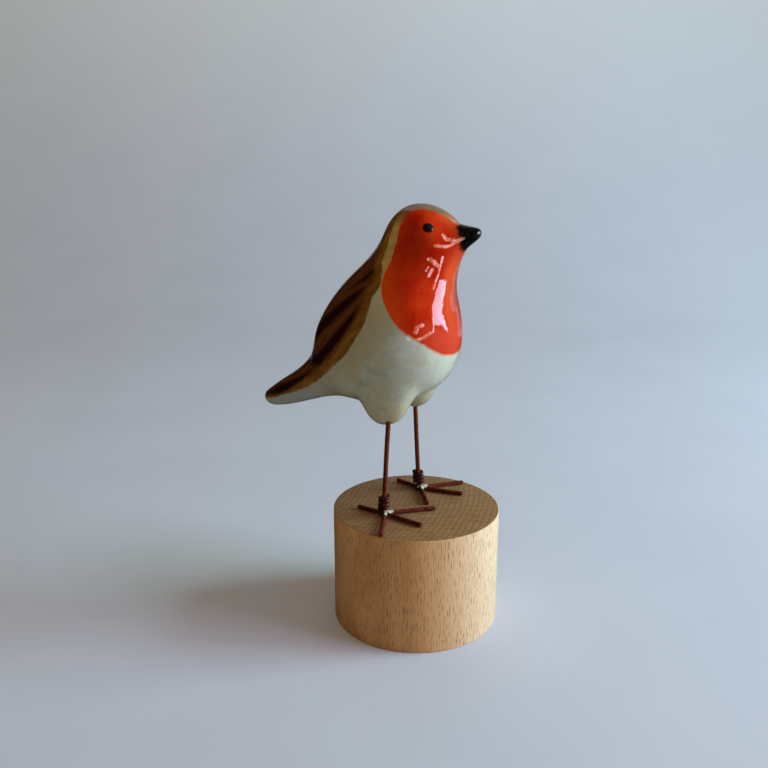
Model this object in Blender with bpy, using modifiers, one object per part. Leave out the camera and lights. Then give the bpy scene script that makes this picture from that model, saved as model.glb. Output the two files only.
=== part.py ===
# A robin ornament: one fired, glazed ceramic bird on two copper-wire legs, standing on a turned
# beech block. Each foot is four cut wires soldered round the leg, under a binding of wire.
#
# Metres, +Z up. The bird faces +X and its left side is +Y. The origin is the middle of the
# block's underside, which is the flat that the ornament rests on.
#
# Run with: blender --background --python part.py

import math

import bmesh
import bpy
from mathutils import Matrix, Vector

MM = 0.001
FIT_GAP = 0.1 * MM  # clearance kept between pieces that touch

# The turned block
BLOCK_RADIUS = 25.0 * MM
BLOCK_HEIGHT = 35.0 * MM
BLOCK_CHAMFER = 0.4 * MM
BLOCK_SIDES = 64

# The wire legs, and how far each is let into the block and up into the thigh
LEG_WIRE = 1.38 * MM
LEG_SET_IN = 12.0 * MM
THIGH_BOTTOM = 62.5 * MM
LEGS = {
    # side: where the leg leaves the block, and where it meets the thigh (x, y in mm)
    "left": ((-5.0, 11.5), (-6.2, 10.8)),
    "right": ((-4.9, -11.6), (-4.05, -10.2)),
}

# The toes: cut wires that lie flat on the block. Bearings turn outwards from straight ahead.
FEET = {"left": (-4.4, 11.5), "right": (-4.4, -11.5)}  # where the lines of the toes meet, in mm
TOE_WIRE = 1.3 * MM
TOE_ROOT = 2.0 * MM  # from the leg and from the foot's middle to where a toe starts
TOES = {
    # side: {toe: (bearing in degrees, distance from the foot's middle to the toe's end in mm)}
    "left": {"inner": (-54, 12.7), "middle": (8, 13.8), "outer": (47, 14.5), "hind": (167, 9.7)},
    "right": {"inner": (-44, 15.4), "middle": (9, 13.3), "outer": (65, 14.9), "hind": (184, 9.5)},
}

# The solder that joins a foot, and the wire bound round the leg above it
SOLDER_RADIUS = 1.75 * MM
SOLDER_HEIGHT = 1.5 * MM
BINDING_WIRE = 1.0 * MM
BINDING_PITCH = 1.12 * MM
BINDING_TURNS = 3.5
BINDING_POINTS_A_TURN = 10

# The ceramic body: oval cross-sections from the tail to the bill. Each is given by its upper
# and its lower point in the bird's middle plane, x and z, and its half-width, all in mm.
BODY_SECTIONS = [
    ("tail tip", (-54.9, 63.9), (-53.2, 59.7), 3.0),
    ("tail end", (-53.3, 64.9), (-49.9, 59.4), 4.9),
    ("mid tail", (-48.9, 68.5), (-43.3, 60.9), 6.0),
    ("tail root", (-40.4, 73.5), (-35.2, 63.7), 7.4),
    ("rump", (-32.1, 82.0), (-25.6, 66.6), 11.1),
    ("vent", (-31.2, 90.6), (-16.0, 66.1), 16.2),
    ("back", (-27.5, 96.9), (-8.4, 65.3), 19.3),
    ("belly", (-22.2, 103.9), (2.9, 69.4), 20.6),
    ("shoulders", (-15.7, 109.4), (10.2, 74.6), 18.9),
    ("breast", (-10.4, 115.3), (13.7, 85.6), 15.9),
    ("neck", (-8.1, 121.8), (9.9, 95.7), 13.9),
    ("crown", (-2.3, 125.7), (10.2, 104.0), 12.7),
    ("face", (4.7, 124.7), (11.6, 108.9), 11.7),
    ("forehead", (8.8, 120.9), (13.0, 111.2), 8.1),
    ("bill root", (13.0, 119.2), (14.6, 113.2), 4.2),
    ("bill tip", (18.7, 118.9), (18.8, 116.1), 2.2),
]
SECTION_POINTS = 12
BODY_SMOOTHING = 2  # Subdivision Surface levels

# The thighs, drawn down out of the belly: centre x, y and the drop, in mm
THIGHS = {"left": (-4.0, 12.0, 6.6), "right": (-4.5, -10.2, 7.3)}
THIGH_LENGTH = 7.0 * MM  # half the bulge's reach along the bird
THIGH_WIDTH = 8.0 * MM  # half its reach across the bird
THIGH_TOP = 78.0 * MM  # the bulge has died away at this height
THIGH_FADE = 7.0 * MM

# The eyes: lenses of black glaze in pressed hollows
EYE_RADIUS = 1.6 * MM
EYE_HALF_DEPTH = 0.75 * MM
EYE_PLACES = {"left": (7.4 * MM, 118.5 * MM), "right": (7.6 * MM, 118.95 * MM)}  # x and z
EYE_SUNK = 0.38 * MM  # from the head's surface in to the lens's middle

MATERIALS = {
    # name: (colour, roughness, metallic)
    "glazed_ceramic": ((0.55, 0.09, 0.03), 0.12, 0.0),
    "black_glaze": ((0.01, 0.01, 0.012), 0.08, 0.0),
    "copper_wire": ((0.42, 0.13, 0.07), 0.35, 1.0),
    "dark_copper": ((0.16, 0.06, 0.04), 0.45, 1.0),
    "solder": ((0.75, 0.74, 0.71), 0.25, 1.0),
    "beech": ((0.62, 0.42, 0.24), 0.55, 0.0),
}


def clear_scene():
    """Remove every object, so that the file holds nothing but this ornament."""
    for old in list(bpy.data.objects):
        bpy.data.objects.remove(old, do_unlink=True)


def new_collection(name):
    collection = bpy.data.collections.new(name)
    bpy.context.scene.collection.children.link(collection)
    return collection


def make_materials():
    """One Principled material for each finish."""
    made = {}
    for name, (colour, roughness, metallic) in MATERIALS.items():
        material = bpy.data.materials.new(name)
        material.use_nodes = True
        shader = material.node_tree.nodes["Principled BSDF"]
        shader.inputs["Base Color"].default_value = (*colour, 1.0)
        shader.inputs["Roughness"].default_value = roughness
        shader.inputs["Metallic"].default_value = metallic
        material.diffuse_color = (*colour, 1.0)
        made[name] = material
    return made


def add_object(name, data, collection, material=None):
    made = bpy.data.objects.new(name, data)
    collection.objects.link(made)
    if material:
        data.materials.append(material)
    return made


def mesh_from(bm, name):
    mesh = bpy.data.meshes.new(name)
    bm.to_mesh(mesh)
    bm.free()
    return mesh


def add_cutter(name, mesh, cutters):
    cutter = add_object(name, mesh, cutters)
    cutter.display_type = "WIRE"
    cutter.hide_render = True
    return cutter


def cut(target, cutter):
    """Take the cutter out of the target with an exact Boolean."""
    boolean = target.modifiers.new(cutter.name, "BOOLEAN")
    boolean.operation = "DIFFERENCE"
    boolean.solver = "EXACT"
    boolean.object = cutter


def settled(source, collection):
    """Swap an object for a copy of it as evaluated, with its modifiers applied."""
    bpy.context.view_layer.update()
    evaluated = source.evaluated_get(bpy.context.evaluated_depsgraph_get())
    mesh = bpy.data.meshes.new_from_object(evaluated)
    name = source.name
    bpy.data.objects.remove(source)
    return add_object(name, mesh, collection)


def turned(name, profile, sides, collection, material=None, closed=False):
    """Turn a profile of (radius, height) points round the Z axis."""
    bm = bmesh.new()
    points = [bm.verts.new((radius, 0.0, height)) for radius, height in profile]
    for first, second in zip(points, points[1:]):
        bm.edges.new((first, second))
    if closed:
        bm.edges.new((points[-1], points[0]))
    piece = add_object(name, mesh_from(bm, name), collection, material)
    screw = piece.modifiers.new("Turning", "SCREW")
    screw.steps = sides
    screw.render_steps = sides
    screw.use_merge_vertices = True
    screw.merge_threshold = 0.00001
    screw.use_normal_calculate = True
    return piece


def wire(name, points, diameter, collection, material, roundness=2):
    """A round wire with flat cut ends along the given points."""
    curve = bpy.data.curves.new(name, "CURVE")
    curve.dimensions = "3D"
    curve.bevel_depth = diameter / 2
    curve.bevel_resolution = roundness
    curve.use_fill_caps = True
    spline = curve.splines.new("POLY")
    spline.points.add(len(points) - 1)
    for point, place in zip(spline.points, points):
        point.co = (*place, 1.0)
    return add_object(name, curve, collection, material)


def leg_line(side):
    """Where a leg leaves the block, where it meets the thigh, and its direction."""
    (foot_x, foot_y), (top_x, top_y) = LEGS[side]
    foot = Vector((foot_x * MM, foot_y * MM, BLOCK_HEIGHT))
    top = Vector((top_x * MM, top_y * MM, THIGH_BOTTOM))
    return foot, top, (top - foot).normalized()


def leg_hole_cutter(side, cutters):
    """A rod a little fatter and longer than the leg, which drills both of its holes."""
    foot, top, direction = leg_line(side)
    length = (top - foot).length + 2 * (LEG_SET_IN + FIT_GAP)
    bm = bmesh.new()
    radius = LEG_WIRE / 2 + FIT_GAP
    bmesh.ops.create_cone(bm, cap_ends=True, segments=16, radius1=radius, radius2=radius, depth=length)
    turn = direction.to_track_quat("Z", "Y").to_matrix().to_4x4()
    bm.transform(Matrix.Translation((foot + top) / 2) @ turn)
    return add_cutter(f"leg_hole_{side}", mesh_from(bm, f"leg_hole_{side}"), cutters)


def make_block(parts, cutters, material):
    """The turned beech block, its edges just broken, drilled for the two legs."""
    edge = BLOCK_RADIUS - BLOCK_CHAMFER
    profile = [
        (0.0, BLOCK_HEIGHT),
        (edge, BLOCK_HEIGHT),
        (BLOCK_RADIUS, BLOCK_HEIGHT - BLOCK_CHAMFER),
        (BLOCK_RADIUS, BLOCK_CHAMFER),
        (edge, 0.0),
        (0.0, 0.0),
    ]
    block = turned("base_block", profile, BLOCK_SIDES, parts, material)
    for side in LEGS:
        cut(block, leg_hole_cutter(side, cutters))


def body_cage():
    """Loft the body's cross-sections into a closed cage of quads."""
    bm = bmesh.new()
    rings = []
    for _, upper, lower, half_width in BODY_SECTIONS:
        upper = Vector((upper[0], 0.0, upper[1])) * MM
        lower = Vector((lower[0], 0.0, lower[1])) * MM
        ring = []
        for step in range(SECTION_POINTS):
            angle = 2 * math.pi * step / SECTION_POINTS
            place = upper.lerp(lower, (1 - math.cos(angle)) / 2)
            place.y = half_width * MM * math.sin(angle)
            ring.append(bm.verts.new(place))
        rings.append(ring)
    for near, far in zip(rings, rings[1:]):
        for step in range(SECTION_POINTS):
            after = (step + 1) % SECTION_POINTS
            bm.faces.new((near[step], near[after], far[after], far[step]))
    bm.faces.new(rings[0])
    bm.faces.new(rings[-1])
    bmesh.ops.recalc_face_normals(bm, faces=bm.faces)
    return mesh_from(bm, "ceramic_body")


def draw_down_thighs(mesh):
    """Pull the two thighs down out of the underside of the body."""
    for vertex in mesh.vertices:
        place = vertex.co.copy()
        below = min(max((THIGH_TOP - place.z) / THIGH_FADE, 0.0), 1.0)
        weight = below * below * (3 - 2 * below)
        for x, y, drop in THIGHS.values():
            along = (place.x - x * MM) / THIGH_LENGTH
            across = (place.y - y * MM) / THIGH_WIDTH
            reach = along * along + across * across
            vertex.co.z -= drop * MM * math.exp(-reach * reach) * weight


def eye_frame(body, side):
    """A frame on the side of the head, Z along the surface normal, for an eye to sit in."""
    x, z = EYE_PLACES[side]
    outward = 1 if side == "left" else -1
    start = Vector((x, outward * 0.1, z))
    hit, place, normal, _ = body.ray_cast(start, Vector((0.0, -outward, 0.0)))
    if not hit:
        raise RuntimeError("the eye's place is not on the head")
    turn = normal.to_track_quat("Z", "X").to_matrix().to_4x4()
    return Matrix.Translation(place - normal * EYE_SUNK) @ turn


def lens(frame, grow):
    """A flattened ball, grown on every side by the given amount."""
    bm = bmesh.new()
    bmesh.ops.create_uvsphere(bm, u_segments=20, v_segments=10, radius=1.0)
    radius = EYE_RADIUS + grow
    bmesh.ops.scale(bm, vec=(radius, radius, EYE_HALF_DEPTH + grow), verts=bm.verts)
    bm.transform(frame)
    return bm


def make_body(parts, cutters, materials):
    """The fired bird in one piece, with leg sockets and eye hollows, and the two eyes."""
    cage = add_object("ceramic_body", body_cage(), parts)
    smooth = cage.modifiers.new("Smooth clay", "SUBSURF")
    smooth.levels = BODY_SMOOTHING
    smooth.render_levels = BODY_SMOOTHING
    body = settled(cage, parts)
    draw_down_thighs(body.data)
    body.data.materials.append(materials["glazed_ceramic"])
    bpy.context.view_layer.update()

    frames = {side: eye_frame(body, side) for side in EYE_PLACES}
    for side, frame in frames.items():
        hollow = mesh_from(lens(frame, FIT_GAP), f"eye_hollow_{side}")
        cut(body, add_cutter(f"eye_hollow_{side}", hollow, cutters))
        eye = mesh_from(lens(frame, 0.0), f"eye_{side}")
        add_object(f"eye_{side}", eye, parts, materials["black_glaze"])
    for side in LEGS:
        cut(body, bpy.data.objects[f"leg_hole_{side}"])


def make_leg(side, parts, material):
    """A straight wire from its hole in the block up into the thigh."""
    foot, top, direction = leg_line(side)
    ends = (foot - direction * LEG_SET_IN, top + direction * LEG_SET_IN)
    wire(f"leg_{side}", ends, LEG_WIRE, parts, material, roundness=3)


def make_solder(side, parts, material):
    """A squat bead of solder round the foot of the leg, bored for the wire."""
    foot, _, direction = leg_line(side)
    bore = LEG_WIRE / 2 + FIT_GAP
    profile = [
        (bore, 0.0),
        (SOLDER_RADIUS * 0.94, 0.0),
        (SOLDER_RADIUS, SOLDER_HEIGHT * 0.3),
        (SOLDER_RADIUS * 0.9, SOLDER_HEIGHT * 0.75),
        (SOLDER_RADIUS * 0.68, SOLDER_HEIGHT),
        (bore, SOLDER_HEIGHT),
    ]
    bead = turned(f"solder_{side}", profile, 20, parts, material, closed=True)
    bead.location = foot + Vector((0.0, 0.0, 1.5 * FIT_GAP))
    bead.rotation_mode = "QUATERNION"
    bead.rotation_quaternion = direction.to_track_quat("Z", "Y")


def make_binding(side, parts, material):
    """Three and a half turns of wire round the leg, on top of the solder."""
    foot, _, direction = leg_line(side)
    frame = Matrix.Translation(foot) @ direction.to_track_quat("Z", "Y").to_matrix().to_4x4()
    radius = (LEG_WIRE + BINDING_WIRE) / 2 + FIT_GAP
    start = SOLDER_HEIGHT + BINDING_WIRE / 2 + 3 * FIT_GAP
    points = []
    for step in range(round(BINDING_TURNS * BINDING_POINTS_A_TURN) + 1):
        turns = step / BINDING_POINTS_A_TURN
        angle = 2 * math.pi * turns
        place = (radius * math.cos(angle), radius * math.sin(angle), start + BINDING_PITCH * turns)
        points.append(frame @ Vector(place))
    wire(f"binding_{side}", points, BINDING_WIRE, parts, material)


def make_toes(side, parts, material):
    """Four straight cut wires that lie on the block and meet the solder end on."""
    leg, _, _ = leg_line(side)
    foot = Vector((FEET[side][0] * MM, FEET[side][1] * MM, BLOCK_HEIGHT))
    outward = 1 if foot.y > 0 else -1
    height = Vector((0.0, 0.0, TOE_WIRE / 2 + FIT_GAP))
    for toe, (bearing, reach) in TOES[side].items():
        angle = math.radians(bearing) * outward
        direction = Vector((math.cos(angle), math.sin(angle), 0.0))
        root = TOE_ROOT + max(0.0, (leg - foot).dot(direction))
        ends = (foot + height + direction * root, foot + height + direction * reach * MM)
        wire(f"toe_{side}_{toe}", ends, TOE_WIRE, parts, material)


clear_scene()
parts = new_collection("robin_ornament")
cutters = new_collection("cutters")
materials = make_materials()
make_block(parts, cutters, materials["beech"])
make_body(parts, cutters, materials)
for side in LEGS:
    make_leg(side, parts, materials["copper_wire"])
    make_solder(side, parts, materials["solder"])
    make_binding(side, parts, materials["dark_copper"])
    make_toes(side, parts, materials["copper_wire"])
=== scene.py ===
import math

import bmesh
import bpy
import numpy as np
from mathutils import Matrix, Vector


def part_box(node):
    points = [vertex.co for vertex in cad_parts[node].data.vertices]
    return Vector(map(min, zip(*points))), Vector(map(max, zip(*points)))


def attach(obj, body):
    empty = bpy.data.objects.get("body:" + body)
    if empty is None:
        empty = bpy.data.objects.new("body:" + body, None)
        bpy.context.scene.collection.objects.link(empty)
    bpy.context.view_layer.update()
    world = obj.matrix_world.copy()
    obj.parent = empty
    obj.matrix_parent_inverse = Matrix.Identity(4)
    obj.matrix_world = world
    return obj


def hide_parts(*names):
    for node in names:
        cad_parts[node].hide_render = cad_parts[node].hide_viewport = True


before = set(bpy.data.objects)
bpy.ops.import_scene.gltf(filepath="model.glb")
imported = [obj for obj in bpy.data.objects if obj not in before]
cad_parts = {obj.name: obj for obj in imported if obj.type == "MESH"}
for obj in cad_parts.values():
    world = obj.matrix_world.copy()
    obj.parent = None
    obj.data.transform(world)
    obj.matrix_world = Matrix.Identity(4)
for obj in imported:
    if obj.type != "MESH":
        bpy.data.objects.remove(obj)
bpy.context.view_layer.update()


# ---------------------------------------------------------------------------------------------
# The turned block: beech, cut so that the grain stands upright, parted off square and sanded,
# with its two rims just broken and two holes drilled in its top for the legs. It stands on its
# underside, and its side shows the short dark flecks of the wood's rays.

MM = 0.001
LEG_HOLE_RADIUS = 0.78 * MM
BROKEN_RIM = 0.45 * MM


def nothing_selected():
    """The frame leaves its nodes selected, so every piece starts from an empty selection."""
    for other in bpy.context.selected_objects:
        other.select_set(False)


def apply_modifiers(piece):
    """Make a piece's modifiers part of its mesh, in their order."""
    bpy.context.view_layer.objects.active = piece
    for modifier in list(piece.modifiers):
        bpy.ops.object.modifier_apply(modifier=modifier.name)


def settle(piece, name):
    """Name a finished piece and put its place, turn and size into its mesh."""
    nothing_selected()
    piece.select_set(True)
    bpy.context.view_layer.objects.active = piece
    bpy.ops.object.transform_apply(location=True, rotation=True, scale=True)
    piece.name = name
    piece.data.name = name


def all_points(mesh):
    """A mesh's points, one to a row."""
    points = np.empty(len(mesh.vertices) * 3)
    mesh.vertices.foreach_get("co", points)
    return points.reshape(-1, 3)


def wire_ends(node):
    """The middles of the two cut ends of a straight CAD wire, in no set order."""
    points = all_points(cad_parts[node].data)
    middle = (points.max(axis=0) + points.min(axis=0)) / 2
    axis = np.linalg.svd(points - middle, full_matrices=False)[2][0]
    along = (points - middle) @ axis
    ends = (points[along < along.min() + 0.1 * MM], points[along > along.max() - 0.1 * MM])
    return [Vector((end.max(axis=0) + end.min(axis=0)) / 2) for end in ends]


def drill(target, start, end, radius):
    """Take a round hole out of a piece, from one point to another."""
    nothing_selected()
    bpy.ops.mesh.primitive_cylinder_add(
        vertices=32, radius=radius, depth=(end - start).length, location=(start + end) / 2,
        rotation=(end - start).to_track_quat("Z", "Y").to_euler())
    bit = bpy.context.object
    boolean = target.modifiers.new("Hole", "BOOLEAN")
    boolean.solver = "MANIFOLD"
    boolean.object = bit
    apply_modifiers(target)
    bpy.data.objects.remove(bit)


def leg_axis(side):
    """A leg's lower and upper end."""
    return sorted(wire_ends(f"leg_{side}"), key=lambda end: end.z)


block_low, block_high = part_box("base_block")
block_radius = (block_high.x - block_low.x) / 2
block_height = block_high.z - block_low.z

nothing_selected()
bpy.ops.mesh.primitive_cylinder_add(
    vertices=192, radius=block_radius, depth=block_height,
    location=(0, 0, block_low.z + block_height / 2))
block = bpy.context.object
bpy.ops.object.mode_set(mode="EDIT")
bpy.ops.mesh.select_all(action="DESELECT")
bpy.ops.object.mode_set(mode="OBJECT")
for edge in block.data.edges:
    ends = [block.data.vertices[i].co for i in edge.vertices]
    edge.select = abs(ends[0].z - ends[1].z) < 1e-6
bpy.ops.object.mode_set(mode="EDIT")
bpy.ops.mesh.select_mode(type="EDGE")
bpy.ops.mesh.bevel(offset=BROKEN_RIM, segments=4)
bpy.ops.object.mode_set(mode="OBJECT")
for side in ("left", "right"):
    low, high = leg_axis(side)
    drill(block, low, high, LEG_HOLE_RADIUS)
settle(block, "turned_block")
bpy.ops.object.shade_smooth_by_angle(angle=math.radians(35))


class Finish:
    """A new material, with short ways to add its nodes and join them up."""

    def __init__(self, name):
        self.material = bpy.data.materials.new(name)
        self.material.use_nodes = True
        self.tree = self.material.node_tree
        self.shader = self.tree.nodes["Principled BSDF"]
        self.place = self.add("ShaderNodeTexCoord").outputs["Object"]

    def add(self, kind, inputs=None, **settings):
        """A new node, with its settings made and its inputs set or joined up."""
        made = self.tree.nodes.new(kind)
        for key, value in settings.items():
            setattr(made, key, value)
        for key, value in (inputs or {}).items():
            self.put(made.inputs[key], value)
        return made

    def put(self, socket, value):
        """Set a socket to a number or colour, or join it to another socket."""
        if isinstance(value, bpy.types.NodeSocket):
            self.tree.links.new(value, socket)
        else:
            socket.default_value = value

    def set(self, **inputs):
        """Set the shader's own inputs. Underscores stand for spaces."""
        for key, value in inputs.items():
            self.put(self.shader.inputs[key.replace("_", " ")], value)

    def math(self, operation, first, second=0.0, clamp=False):
        """A sum, product or the like of one or two values."""
        made = self.add("ShaderNodeMath", operation=operation, use_clamp=clamp)
        self.put(made.inputs[0], first)
        self.put(made.inputs[1], second)
        return made.outputs[0]

    def mapped(self, turn=(0, 0, 0), size=(1, 1, 1), place=None, vector=None):
        """A place on the piece, turned by so many degrees, then scaled and moved."""
        turned = self.add("ShaderNodeMapping", {
            "Vector": vector or self.place, "Rotation": [math.radians(t) for t in turn]})
        moved = self.add("ShaderNodeMapping", {
            "Vector": turned.outputs[0], "Scale": size, "Location": place or (0, 0, 0)})
        return moved.outputs[0]

    def noise(self, size, detail=2.0, rough=0.5, vector=None):
        """Noise whose blobs are about so many millimetres across."""
        made = self.add("ShaderNodeTexNoise", {
            "Vector": vector or self.place, "Scale": 1.0 / (size * MM), "Detail": detail,
            "Roughness": rough})
        return made.outputs["Fac"]

    def attribute(self, name):
        """A number that is held at each point of the mesh."""
        return self.add("ShaderNodeAttribute", attribute_name=name).outputs["Fac"]

    def ramp(self, value, low, high, at_low=0.0, at_high=1.0):
        """A value that goes smoothly from one number to another between two limits."""
        made = self.add("ShaderNodeMapRange", {
            "Value": value, "From Min": low, "From Max": high, "To Min": at_low,
            "To Max": at_high}, interpolation_type="SMOOTHSTEP")
        return made.outputs["Result"]

    def mix(self, amount, first, second):
        """Some of the second colour over the first."""
        made = self.add("ShaderNodeMix", data_type="RGBA")
        self.put(made.inputs["Factor"], amount)
        wells = [socket for socket in made.inputs if socket.type == "RGBA"]
        for well, colour in zip(wells, (first, second)):
            self.put(well, colour)
        return next(socket for socket in made.outputs if socket.type == "RGBA")

    def times(self, *values):
        """The product of two or more values."""
        product = values[0]
        for value in values[1:]:
            product = self.math("MULTIPLY", product, value)
        return product

    def bump(self, height, depth, under=None):
        """A bump of so many millimetres, on top of another one."""
        made = self.add("ShaderNodeBump", {"Height": height, "Distance": depth * MM})
        if under is not None:
            self.put(made.inputs["Normal"], under)
        return made.outputs["Normal"]

    def on(self, piece):
        """Give a piece this finish."""
        piece.data.materials.clear()
        piece.data.materials.append(self.material)


def rgb(red, green, blue):
    return (red, green, blue, 1.0)


beech = Finish("beech")
apart = beech.add("ShaderNodeSeparateXYZ", {"Vector": beech.place}).outputs
facing = beech.add("ShaderNodeNewGeometry").outputs["Normal"]
up = beech.add("ShaderNodeSeparateXYZ", {"Vector": facing}).outputs["Z"]
end_grain = beech.ramp(beech.math("ABSOLUTE", up), 0.6, 0.95)
# flecks on the side: thin upright lenses, laid out by the way round the block and the height
way_round = beech.times(beech.math("ARCTAN2", apart["Y"], apart["X"]), block_radius)
around = beech.add("ShaderNodeCombineXYZ", {"X": way_round, "Z": apart["Z"]}).outputs[0]
wander = beech.times(beech.noise(6.0, 1.0, vector=around), 1.2 * MM)
fleck_place = beech.add("ShaderNodeCombineXYZ", {
    "X": beech.math("ADD", way_round, wander), "Z": apart["Z"]}).outputs[0]


def flecks(across, along, keep, seed):
    """Upright lens-shaped flecks in a grid of cells of this size in mm. Some cells stay empty."""
    cells = beech.mapped(size=(1 / (across * MM), 1.0, 1 / (along * MM)),
                         place=(seed, 0, seed * 0.7), vector=fleck_place)
    cell = beech.add("ShaderNodeTexVoronoi", {"Vector": cells, "Scale": 1.0, "Randomness": 0.9})
    from_middle = beech.add("ShaderNodeVectorMath", {
        0: cells, 1: cell.outputs["Position"]}, operation="SUBTRACT").outputs[0]
    off = beech.add("ShaderNodeSeparateXYZ", {"Vector": from_middle}).outputs
    wide = beech.times(off["X"], 5.6)
    tall = beech.times(off["Z"], 1.25)
    reach = beech.math("SQRT", beech.math("ADD", beech.times(wide, wide), beech.times(tall, tall)))
    lens_shape = beech.ramp(reach, 0.34, 0.56, 1.0, 0.0)
    chance = beech.add("ShaderNodeSeparateColor", {"Color": cell.outputs["Color"]}).outputs[0]
    return beech.times(lens_shape, beech.ramp(chance, 1 - keep, 1 - keep * 0.4))


fleck = beech.math("MAXIMUM", flecks(0.95, 3.6, 0.75, 1.3), flecks(1.15, 2.9, 0.65, 7.9))
fleck = beech.math("MAXIMUM", fleck, beech.times(flecks(0.6, 1.9, 0.6, 4.1), 0.65))
crowding = beech.ramp(beech.noise(5.0, 2.0, vector=around), 0.3, 0.7, 0.45, 1.0)
fleck = beech.times(fleck, crowding)
fibres = beech.noise(1.0, 4.0, 0.6, beech.mapped(size=(3.2, 1.0, 0.22), vector=around))
side_tone = beech.noise(9.0, 2.0, vector=beech.mapped(size=(1.0, 1.0, 0.25), vector=around))
side_wood = beech.mix(beech.ramp(side_tone, 0.3, 0.7),
                      rgb(0.65, 0.305, 0.100), rgb(0.77, 0.398, 0.148))
# painted light: the side towards the window is painted paler, as where it is lit
window_way = beech.math("ADD", beech.times(apart["X"], 0.87), beech.times(apart["Y"], 0.49))
painted_window_light = beech.ramp(window_way, -0.004, 0.026)
side_wood = beech.mix(beech.times(painted_window_light, 0.9), side_wood, rgb(0.87, 0.67, 0.46))
side_wood = beech.mix(beech.ramp(fibres, 0.35, 0.75, 0.0, 0.30), side_wood, rgb(0.50, 0.26, 0.11))
side_wood = beech.mix(beech.times(fleck, 0.9), side_wood, rgb(0.20, 0.066, 0.016))
# the end grain: fine lines of the rays, crossed by the faint curved bounds of the growth rings
rays = beech.noise(1.0, 3.0, 0.7, beech.mapped(turn=(0, 0, -24), size=(0.14, 2.7, 0.0)))
ring_place = beech.mapped(turn=(0, 0, -24), place=(0.11, -0.02, 0))
rings = beech.add("ShaderNodeTexWave", {
    "Vector": ring_place, "Scale": 190.0, "Distortion": 3.0, "Detail": 3.0, "Detail Scale": 0.6,
    "Detail Roughness": 0.6}, wave_type="RINGS", rings_direction="Z").outputs["Fac"]
pores = beech.noise(0.34, 2.0, 0.7)
end_wood = beech.mix(beech.ramp(rays, 0.38, 0.6),
                     rgb(0.235, 0.113, 0.046), rgb(0.400, 0.217, 0.098))
end_wood = beech.mix(beech.ramp(rings, 0.5, 1.0, 0.0, 0.45), end_wood, rgb(0.16, 0.080, 0.032))
end_wood = beech.mix(beech.ramp(pores, 0.52, 0.75, 0.0, 0.45), end_wood, rgb(0.15, 0.070, 0.028))
beech_bump = beech.bump(beech.mix(end_grain, fibres, pores), 0.05)
beech_bump = beech.bump(beech.times(fleck, -1.0), 0.03, beech_bump)
beech.set(Base_Color=beech.mix(end_grain, side_wood, end_wood),
          Roughness=beech.ramp(side_tone, 0.3, 0.7, 0.46, 0.58), Specular_IOR_Level=0.25,
          Normal=beech_bump)
beech.on(block)
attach(block, "root")
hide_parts("base_block")


# ---------------------------------------------------------------------------------------------
# The legs: two lengths of copper wire, straightened by hand, each let into its hole in the block
# and into a socket under a thigh. The wire is tarnished red-brown, and brighter where handled.

LEG_BOWS = {"left": ((0.10, 1, 0.6), (0.05, 3, 2.0)), "right": ((0.08, 1, 2.4), (0.05, 4, 0.5))}
LEG_WIRE, TOE_WIRE = 1.38, 1.3  # how far across, in mm
WIRE_SIDES, WIRE_STEPS = 24, 24


def mesh_wire(name, start, end, radius, bows):
    """A cut wire: a disc drawn out in steps, bowed by hand, its ends nipped and burred.

    A bow is how far it goes out in mm, how many half waves it has, and the way it leans.
    """
    run = end - start
    turn = run.to_track_quat("Z", "Y")
    across, aside = turn @ Vector((1, 0, 0)), turn @ Vector((0, 1, 0))
    nothing_selected()
    bpy.ops.mesh.primitive_circle_add(
        vertices=WIRE_SIDES, radius=radius, fill_type="NGON", location=start,
        rotation=turn.to_euler())
    piece = bpy.context.object
    bpy.ops.object.mode_set(mode="EDIT")
    bpy.ops.mesh.select_all(action="SELECT")
    last = Vector((0, 0, 0))
    for step in range(1, WIRE_STEPS + 1):
        share = step / WIRE_STEPS
        offset = Vector((0, 0, 0))
        for size, waves, lean in bows:
            wave = math.sin(math.pi * waves * share)
            offset += (across * math.cos(lean) + aside * math.sin(lean)) * size * MM * wave
        here = run * share + offset
        bpy.ops.mesh.extrude_region_move(TRANSFORM_OT_translate={"value": here - last})
        last = here
    bpy.ops.object.mode_set(mode="OBJECT")
    # nip both ends: the last edge loops are drawn in to leave a small rounded burr
    bm = bmesh.new()
    bm.from_mesh(piece.data)
    caps = [face for face in bm.faces if len(face.verts) == WIRE_SIDES]
    rim = {edge for face in caps for edge in face.edges}
    bmesh.ops.bevel(bm, geom=list(rim), offset=radius * 0.22, segments=2, affect="EDGES")
    bmesh.ops.recalc_face_normals(bm, faces=bm.faces)
    bm.to_mesh(piece.data)
    bm.free()
    settle(piece, name)
    bpy.ops.object.shade_smooth_by_angle(angle=math.radians(50))
    return piece


def copper(name, bright, dull, dark, roughness):
    """Copper that has gone red-brown, with dull patches and fine dark stains."""
    made = Finish(name)
    stain = made.noise(2.6, 3.0, 0.6)
    fine = made.noise(0.5, 3.0, 0.7)
    colour = made.mix(made.ramp(stain, 0.35, 0.65), bright, dull)
    colour = made.mix(made.ramp(fine, 0.55, 0.8, 0.0, 0.6), colour, dark)
    made.set(Base_Color=colour, Metallic=0.5,
             Roughness=made.ramp(stain, 0.3, 0.7, roughness, roughness + 0.14),
             Specular_IOR_Level=0.2, Normal=made.bump(fine, 0.03))
    return made


leg_copper = copper("leg_copper", rgb(0.25, 0.056, 0.018), rgb(0.155, 0.029, 0.012),
                    rgb(0.055, 0.014, 0.009), 0.45)
for side in ("left", "right"):
    low, high = leg_axis(side)
    toe_low, toe_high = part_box(f"toe_{side}_middle")
    radius = (toe_high.z - toe_low.z) / 2 * LEG_WIRE / TOE_WIRE
    leg = mesh_wire(f"leg_wire_{side}", low, high, radius, LEG_BOWS[side])
    leg_copper.on(leg)
    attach(leg, "root")
    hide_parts(f"leg_{side}")


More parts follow.
